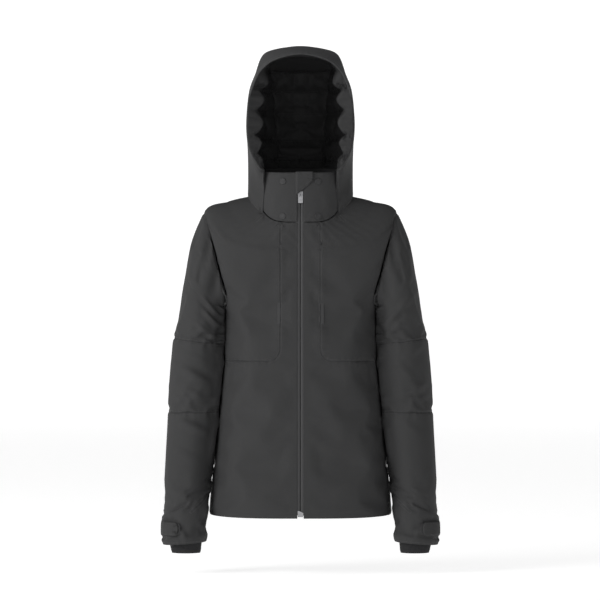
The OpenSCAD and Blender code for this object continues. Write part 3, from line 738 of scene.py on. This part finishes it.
arm_left = crease(arm_left, [(236, -198, 166, -276, 7, 4.6), (226, -236, 170, -300, 6, 3.2),
                             (262, -300, 190, -352, 7, 2.6), (190, -330, 244, -384, 7, 2.2),
                             (272, -380, 200, -420, 7, 2.4), (200, -452, 258, -500, 8, 1.8),
                             (280, -560, 214, -604, 9, 1.6),
                             (240, -96, 216, -150, 10, 1.6)])
arm_right = crease(arm_right, [(-168, -250, -208, -200, 5, 4.6), (-165, -276, -206, -226, 5, 4.8),
                               (-172, -296, -222, -256, 5, 3.2), (-192, -340, -262, -318, 7, 2.4),
                               (-254, -350, -188, -388, 8, 6.0), (-258, -462, -192, -490, 8, 6.0),
                               (-240, -398, -196, -424, 7, 3.0), (-272, -520, -206, -552, 8, 2.0),
                               (-236, -100, -214, -160, 10, 1.6)])
arm_left = beside(arm_left, (front_l[:, 40:], back[:, :30], side_l), 1)
arm_right = beside(arm_right, (front_r[:, :39], back[:, -30:], side_r), -1)
SLEEVE_PANELS = (("sleeve_cap", 0, 2, 40), ("upper_sleeve", 2, 4, 34),
                 ("elbow_panel", 4, 6, 32), ("forearm", 6, 9, 46))
cuff_seams = {}
for hand, arm, side in (("left", arm_left, 1), ("right", arm_right, -1)):
    lines = [sample(arm, np.linspace(0, 1, 380), np.full(380, k / 10)) for k in (0, 4, 6)]
    inner_seam = (150 if side == 1 else 210) / 360
    lines.append(sample(arm, np.full(560, inner_seam), np.linspace(0.0, 0.86, 560)))
    bow = np.linspace(0, 1, 120)
    bow_t = np.interp(bow, [0, 0.4, 1], [0.47, 0.42, 0.29])
    bow_v = np.interp(bow, [0, 0.4, 1], [0.885, 0.905, 0.921])
    cuff_seams[hand] = sample(arm, bow_t if side == 1 else 1 - bow_t, bow_v)
    lines.append(cuff_seams[hand])
    arm_tree = seam_tree(lines)
    beside_seam = inner_seam + np.array([-6, -3, -1.2, 0, 1.2, 3, 6]) / 330
    for name, low, high, count in SLEEVE_PANELS:
        v = (low + (high - low) * edge_fine(count, (high - low) * 75))[:, None] / 10
        t = np.unique(np.concatenate([np.linspace(0, 1, 73), beside_seam]))[None, :]
        grid = sample(arm, t + 0 * v, v + 0 * t)[::-1, ::-1]
        piece = sewn(name + "_cloth_" + hand, [grid], arm_tree, shell_finish, closed=True, depth=seam_depth)
        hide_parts(name + "_" + hand)
        if name in ("sleeve_cap", "upper_sleeve"):
            "upper_arm_" + hand
            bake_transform(piece)
        elif name == "elbow_panel":
            "upper_arm_" + hand
            "lower_arm_" + hand
            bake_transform(piece)
        else:
            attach(piece, "lower_arm_" + hand)

# ---- Cuffs ----
# Each cuff is a plain band set inside the forearm's end, with a tab that closes on a strip of hook tape.
# A knitted inner cuff shows below it and keeps snow out.


def cuff_wall(phi, v, out):
    c, s = np.cos(np.radians(phi)), np.sin(np.radians(phi))
    return np.stack([243 + v + (47.2 + out) * c, -42 - 5 * v - (46.3 + out) * s, -668 - 52 * v + 0 * phi], -1)


def strap(phi0, phi1, low, high, out, rounded, rows=9, cols=44):
    """A strap round the cuff, its free end rounded."""
    a = np.linspace(0, 1, cols)[None, :]
    b = np.linspace(0, 1, rows)[:, None]
    nose = np.clip((a * abs(phi1 - phi0) - abs(phi1 - phi0) + rounded) / rounded, 0, 1)
    half = np.sqrt(1 - (nose * 0.94) ** 3)
    v = (low + high) / 2 + (b - 0.5) * (high - low) * half
    swell = out + 0.7 * np.sin(b * math.pi) ** 0.5
    return cuff_wall(phi0 + (phi1 - phi0) * a + 0 * b, v + 0 * a, swell + 0 * a)


def gaiter_grid():
    rows = [[-690, 243.5, 38, -46, 36], [-722, 241, 33.5, -47, 33], [-740, 240, 30, -47, 30]]
    phi = np.linspace(0, 360, 145)[None, :]
    v = np.linspace(0, 2, 40)[:, None]
    r = along_rows(rows, v[:, 0])[:, None, :]
    ripple = 1 + 0.010 * np.sin(np.radians(phi) * 9 + 2 * v) * np.sin(v * 1.5) + 0.006 * np.sin(v * 9)
    return np.stack([r[..., 1] + r[..., 2] * ripple * np.cos(np.radians(phi)),
                     r[..., 3] - r[..., 4] * ripple * np.sin(np.radians(phi)), r[..., 0] + 0 * phi], -1)


for hand, arm in (("left", arm_left), ("right", arm_right)):
    facing = (lambda g: g[::-1, ::-1]) if hand == "left" else (lambda g: (g * np.array([-1.0, 1, 1]))[::-1])
    v = (0.9 + 0.1 * edge_fine(18, 70))[:, None]
    t = np.linspace(0, 1, 73)[None, :]
    band = sample(arm, t + 0 * v, v + 0 * t)
    tree = seam_tree([band[-1], cuff_seams[hand]])
    cuff = sewn("cuff_band_cloth_" + hand, [band[::-1, ::-1]], tree, shell_finish, closed=True, tuck=1.6)
    turned = np.stack([band[-1] - outward(band[::-1, ::-1])[0, ::-1] * d + np.array([0, 0, h])
                       for d, h in ((1.6, 0), (2.6, -0.8), (4.0, 0.2), (4.6, 3.0), (5.0, 14.0))])
    cuff_turn = sewn("cuff_turning_" + hand, [turned[::-1, ::-1]], None, shell_finish, thick=0.6, closed=True)
    knit_cuff = sewn("inner_cuff_" + hand, [facing(gaiter_grid())], None, knit_finish, thick=1.4, closed=True)
    landing_grid = facing(strap(10, 81, 0.16, 0.62, 0.3, 6))
    landing = sewn("hook_strip_" + hand, [landing_grid], None, webbing_finish, thick=0.3)
    for piece, node, title in ((cuff, "cuff_band", "shell"), (cuff_turn, None, "shell"),
                               (knit_cuff, "wrist_gaiter", "stretch_cuff"),
                               (landing, "cuff_patch", "webbing")):
        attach(piece, "lower_arm_" + hand)
        if node:
            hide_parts(node + "_" + hand)
    strap_grid = facing(strap(-52, 76, 0.10, 0.68, 2.4, 14))
    edge = seam_tree([strap_grid[0], strap_grid[-1], strap_grid[:, 0], strap_grid[:, -1]])
    tab = sewn("cuff_strap_" + hand, [strap_grid], edge, shell_finish, thick=1.3, tuck=0.6, reach=1.6)
    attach(tab, "tab_" + hand)
    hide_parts("cuff_tab_" + hand)

# ---- Hood ----
# Three panels of shell cloth, two sides and a centre strip from brow to nape, sewn on outside the collar.
CROWN_SEAM = [[79, -78, 303], [78, -30, 305], [73, 30, 298], [67, 88, 262], [61, 118, 205],
              [56, 124, 145], [51, 112, 85], [47, 94, 38], [45, 84, 12]]
FACE_EDGE = [[79, -78, 303], [95, -79, 262], [107, -80, 228], [112, -80, 180], [112.5, -80, 140],
             [107, -76, 104], [92, -71, 76], [76, -66, 62]]
COLLAR_EDGE = [[45, 84, 12], [77, 66, 15], [104, 34, 13], [112, 0, 9], [107, -34, -4], [81, -58, -34]]
FRONT_EDGE = [[76, -66, 62], [78, -59, 14], [81, -58, -34]]
CROWN_RISE = [[17], [19], [20], [20], [16], [12], [8], [4], [2]]


def curve(points, u):
    return along_rows(points, np.asarray(u, float) * (len(points) - 1))


def hood_side(s, t):
    """Point of the left side panel: s from brow to nape, t from the crown seam out to the face edge."""
    s3, t3 = s[..., None], t[..., None]
    crown, face = np.array(CROWN_SEAM, float), np.array(FRONT_EDGE, float)
    seam_side = curve(CROWN_SEAM, s) * (1 - t3) + curve(FRONT_EDGE, s) * t3
    rim_side = curve(FACE_EDGE, t) * (1 - s3) + curve(COLLAR_EDGE, t) * s3
    corners = (crown[0] * (1 - s3) + crown[8] * s3) * (1 - t3) + (face[0] * (1 - s3) + face[2] * s3) * t3
    return seam_side + rim_side - corners


def hood_crown(s, w):
    p = curve(CROWN_SEAM, s)
    d = curve(CROWN_SEAM, np.minimum(s + 0.01, 1)) - curve(CROWN_SEAM, np.maximum(s - 0.01, 0))
    out = np.stack([0 * d[..., 0], -d[..., 2], d[..., 1]], -1)
    out /= np.linalg.norm(out, axis=-1, keepdims=True)
    rise = curve(CROWN_RISE, s)[..., 0] * (1 - w * w)
    return np.stack([p[..., 0] * w, p[..., 1], p[..., 2]], -1) + out * rise[..., None]


def hood_grid(kind, s, t):
    s, t = s[:, None] + 0 * t[None, :], t[None, :] + 0 * s[:, None]
    return hood_side(s, t) if kind == "side" else hood_crown(s, 2 * t - 1)


hood_left = hood_grid("side", edge_fine(70, 430), edge_fine(40, 200))
hood_mid = hood_grid("crown", edge_fine(90, 430), edge_fine(26, 140))
hood_left = crease(hood_left, [(112, 120, 70, 20, 10, 2.2), (84, -20, 104, 30, 7, 2.2)])
hood_right = crease(flipped(hood_left), [(-110, 110, -74, 20, 10, 2.0)])
hood_seams = [curve(CROWN_SEAM, np.linspace(0, 1, 500)), curve(COLLAR_EDGE, np.linspace(0, 1, 240)),
              curve(FACE_EDGE, np.linspace(0, 1, 300)), curve(FRONT_EDGE, np.linspace(0, 1, 90))]
hood_seams += [s * np.array([-1.0, 1, 1]) for s in hood_seams]
hood_tree = seam_tree(hood_seams + [hood_mid[0], hood_mid[-1]])
for name, grid, nodes in (("hood_side_cloth_left", hood_left, ("hood_side_left",)),
                          ("hood_side_cloth_right", hood_right, ("hood_side_right",)),
                          ("hood_centre_cloth", hood_mid, ("hood_centre",))):
    piece = sewn(name, [grid], hood_tree, shell_finish, thick=1.8, tuck=1.8)
    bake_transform(piece)
    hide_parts(*nodes)

# The brim is a stiffened crescent sewn along the brow, with a line of stitching inside its free edge.
BRIM_BACK = [[0, -79, 320.5], [44, -79, 317], [79, -79, 303], [95, -80, 262], [108, -81, 222]]
BRIM_FRONT = [[0, -118, 303], [54, -115, 291], [84, -106, 268], [100, -97, 238], [108.5, -86, 214]]


def brim(u, w):
    both = [np.array([[-x, y, z] for x, y, z in edge[:0:-1]] + edge) for edge in (BRIM_BACK, BRIM_FRONT)]
    a, b = (curve(edge, (u + 1) / 2) for edge in both)
    return a * (1 - w[..., None]) + b * w[..., None] + np.stack([0 * u, 0 * u, 5 * w * (1 - w)], -1)


u = np.linspace(-1, 1, 121)[None, :]
w = (1 - edge_fine(10, 42))[:, None]
brim_top = brim(u + 0 * w, w + 0 * u)
brim_tree = seam_tree([brim_top[0], brim_top[-1]])
brim_piece = sewn("brim", [brim_top], brim_tree, brim_finish, thick=2.6, tuck=0.9, reach=2.0)
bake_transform(brim_piece)
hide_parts("hood_brim")

# ---- Hood lining ----
# Wadded taffeta, quilted in level rows about 46 mm apart, so that each row puffs into the hood.
# It is sewn in along the face edge and left loose over the collar.
QUILT = (279, 237, 189, 134, 90, 40)


def puffed(grid, behind, fullness):
    """How far the wadding stands in: it parts at the quilting, and is fullest just inside the face edge."""
    near = np.clip(np.min([np.abs(grid[..., 2] - q) for q in QUILT], axis=0) / 23, 0, 1) ** 0.6
    roll = np.clip(behind / 24, 0, 1) ** 0.7 * np.exp(-(np.clip(behind - 30, 0, None) / 42) ** 2)
    return 7.5 * near + fullness * roll * (13 + 10 * near)


def lining_block(kind, rows, cols):
    s, t = np.linspace(0, 1, rows), np.linspace(0, 1, cols)
    grid = hood_grid(kind, s, t)
    out = outward(grid)
    rise = np.clip(s * 430 / 16, 0, 1)[:, None] ** 0.5
    fullness = 0.3 * np.ones((1, cols))
    if kind == "side":
        rise = rise * np.clip((1 - t) * 200 / 16, 0, 1)[None, :] ** 0.5
        fullness = (0.3 + 0.7 * np.clip(t / 0.18, 0, 1))[None, :] * np.clip((1 - t) / 0.4, 0, 1)[None, :]
    return grid - out * (0.9 + (2.6 + puffed(grid, 430 * s[:, None], fullness)) * rise)[..., None]


side_block, mid_block = lining_block("side", 91, 41), lining_block("crown", 91, 31)
side_block[:, 0] = mid_block[:, 30]
quilted = lambda g: np.exp(-(np.min([np.abs(g[..., 2] - q) for q in QUILT], axis=0) / 3.0) ** 2)
side_pin, mid_pin = quilted(side_block), quilted(mid_block)
side_pin[:, 40] = side_pin[90] = side_pin[0] = mid_pin[0] = mid_pin[90] = 1
lining_l, lining_m, lining_r = settle(
    [side_block, mid_block, flipped(side_block)],
    [side_pin, mid_pin, side_pin[:, ::-1]],
    grow=0.02, pressure=-0.8, stiff=5.0, frames=20, cap=3.0, weight=0.3)
quilts = [finer(g, 2 * g.shape[0], 2 * g.shape[1]) for g in (lining_l, lining_m, lining_r)]
lines = np.concatenate([g.reshape(-1, 3) for g in quilts])
quilt_points = lines[np.min([np.abs(lines[:, 2] - q) for q in QUILT], axis=0) < 0.7]
hood_lining = sewn("hood_quilted_lining", quilts, seam_tree([quilt_points]), lining_finish, thick=1.0,
                   tuck=0.6, reach=2.0)
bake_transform(hood_lining)
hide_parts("hood_lining")

# ---- Front zip ----
# A reversed coil zip faced with smooth water-resistant film, from the hem up to the collar's top.
# The slider, its pull and the bottom box are cast metal, painted grey.


def on_front(x, y, z):
    """A point x across, y behind the front and z up the centre line."""
    lean = math.atan(FRONT_SLOPE)
    return np.stack([x + 0 * z, -front_depth(0) + y * math.cos(lean) + z * math.sin(lean),
                     -y * math.sin(lean) + z * math.cos(lean)], -1)


def zip_band(side, low=-659.0, high=55.0):
    x = np.array([0.35, 0.8, 2.2, 4.2, 6.2, 8.4, 11.0])
    y = np.array([2.4, 1.5, 1.05, 0.95, 1.0, 1.6, 2.6])
    z = np.linspace(low, high, 240)
    wave = 0.12 * np.sin(z * 0.21)[:, None]
    grid = on_front(x[None, :] + 0 * z[:, None], y[None, :] + wave, z[:, None] + 0 * x[None, :])
    return grid if side > 0 else flipped(grid)


for hand, side in (("left", 1), ("right", -1)):
    band = zip_band(side)
    tape = sewn("zip_facing_" + hand, [band], None, strip_finish, thick=0.6)
    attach(tape, "torso")
    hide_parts("zip_tape_" + hand)

# The flap at the collar's top hides the slider when it is closed.
def flap_cloth():
    b = np.linspace(0, 1, 30)[:, None]
    x = np.linspace(-11, 26, 40)[None, :] + 0 * b
    low = np.interp(x, [-11, -2, 8, 17, 24.5, 26], [9, 14.5, 22.5, 31, 38.5, 41.5])
    z = low + (58.5 - low) * b
    return on_front(x, -3.6 + 3.2 * np.clip((-x - 5) / 6, 0, 1) ** 2 + 0 * b - 0.6 * np.sin(b * math.pi), z)


flap_grid = flap_cloth()
flap_tree = seam_tree([flap_grid[0], flap_grid[-1], flap_grid[:, -1]])
flap = sewn("zip_top_flap", [flap_grid], flap_tree, shell_finish, thick=1.6, tuck=0.5, reach=1.4)
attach(flap, "torso")
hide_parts("zip_garage")


def draft_grid():
    x = np.linspace(-18, 16, 10)[None, :]
    z = np.linspace(-650, 50, 160)[:, None]
    return on_front(x + 0 * z, 7.6 + 0.5 * np.sin(z * 0.05 + x * 0.1), z + 0 * x)


draft = sewn("zip_draft_cloth", [draft_grid()], None, lining_finish, thick=0.8)
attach(draft, "torso")
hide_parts("zip_draft_flap")

# ---- Hang loop ----
# A loop of woven tape, its ends caught in the seam of the collar's lining, with slack enough for a hook.


def loop_tape():
    a = np.linspace(0, math.pi, 60)
    x = 29 * np.sign(np.cos(a)) * np.abs(np.cos(a)) ** 0.75
    z = 16.6 + 1.4 * np.sin(a) - 10 * (1 - np.sin(a) ** 0.5)
    y = 54 + 12.5 * (1 - np.sin(a) ** 0.6)
    w = np.linspace(-4, 4, 7)[:, None]
    return np.stack([x[None, :] + 0 * w, y[None, :] + w * (0.35 + 0.65 * np.sin(a))[None, :],
                     z[None, :] + 0.2 * np.abs(w) + w * (-0.9 * (1 - np.sin(a)))[None, :]], -1)


loop = sewn("hang_loop_tape", [loop_tape()], None, webbing_finish, thick=1.0)
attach(loop, "torso")
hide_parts("hang_loop")

# ---- Hard trim ----
# The slider, its pull and the bottom box are painted metal. Snaps, pocket sliders and pulls are dark plastic.


def hard_finish(name, tone, metal, roughness):
    made, shader, pen = finish(name, roughness, 0.5)
    spot = pen.node("ShaderNodeTexCoord", out=3)
    grain = pen.node("ShaderNodeTexNoise", {}, {"Vector": spot, "Scale": 900.0, "Detail": 3.0})
    cloud = pen.node("ShaderNodeTexNoise", {}, {"Vector": spot, "Scale": 160.0, "Detail": 2.0})
    low, high = tuple(c * 0.85 for c in tone), tuple(c * 1.12 for c in tone)
    colour = (cloud * 0.6 + grain * 0.4).step(0.3, 0.7).tint(low, high)
    pen.tree.links.new(colour.socket, shader.inputs["Base Color"])
    pen.tree.links.new((roughness - 0.08 + cloud * 0.16).socket, shader.inputs["Roughness"])
    bump = pen.node("ShaderNodeBump", {}, {"Height": grain * 0.00008, "Distance": 1.0})
    pen.tree.links.new(bump.socket, shader.inputs["Normal"])
    shader.inputs["Metallic"].default_value = metal
    return made


metal_finish = hard_finish("grey_painted_metal", (0.30, 0.30, 0.31), 0.25, 0.42)
snap_finish = hard_finish("dark_snap", (0.020, 0.020, 0.021), 0.1, 0.6)
coil_finish = hard_finish("zip_coil_nylon", (0.02, 0.02, 0.021), 0.0, 0.5)
for node, made in (("zip_slider", metal_finish), ("zip_pull", metal_finish), ("zip_bottom_box", metal_finish),
                   ("collar_snaps", snap_finish),
                   ("zip_coil_left", coil_finish), ("zip_coil_right", coil_finish),
                   ("chest_zip_left", coil_finish), ("chest_zip_right", coil_finish),
                   ("chest_slider_left", snap_finish), ("chest_slider_right", snap_finish),
                   ("chest_pull_left", snap_finish), ("chest_pull_right", snap_finish)):
    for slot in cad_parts[node].material_slots:
        slot.material = made

# The cove is painted board.
paper, shader, pen = finish("paper_white", 0.9)
paper_tone = pen.node("ShaderNodeTexNoise", {}, {"Scale": 2.0}).tint((0.50, 0.50, 0.50), (0.53, 0.53, 0.53))
pen.tree.links.new(paper_tone.socket, shader.inputs["Base Color"])
shader.inputs["Emission Color"].default_value = (1, 1, 1, 1)
shader.inputs["Emission Strength"].default_value = 0.76
cove.data.materials.append(paper)
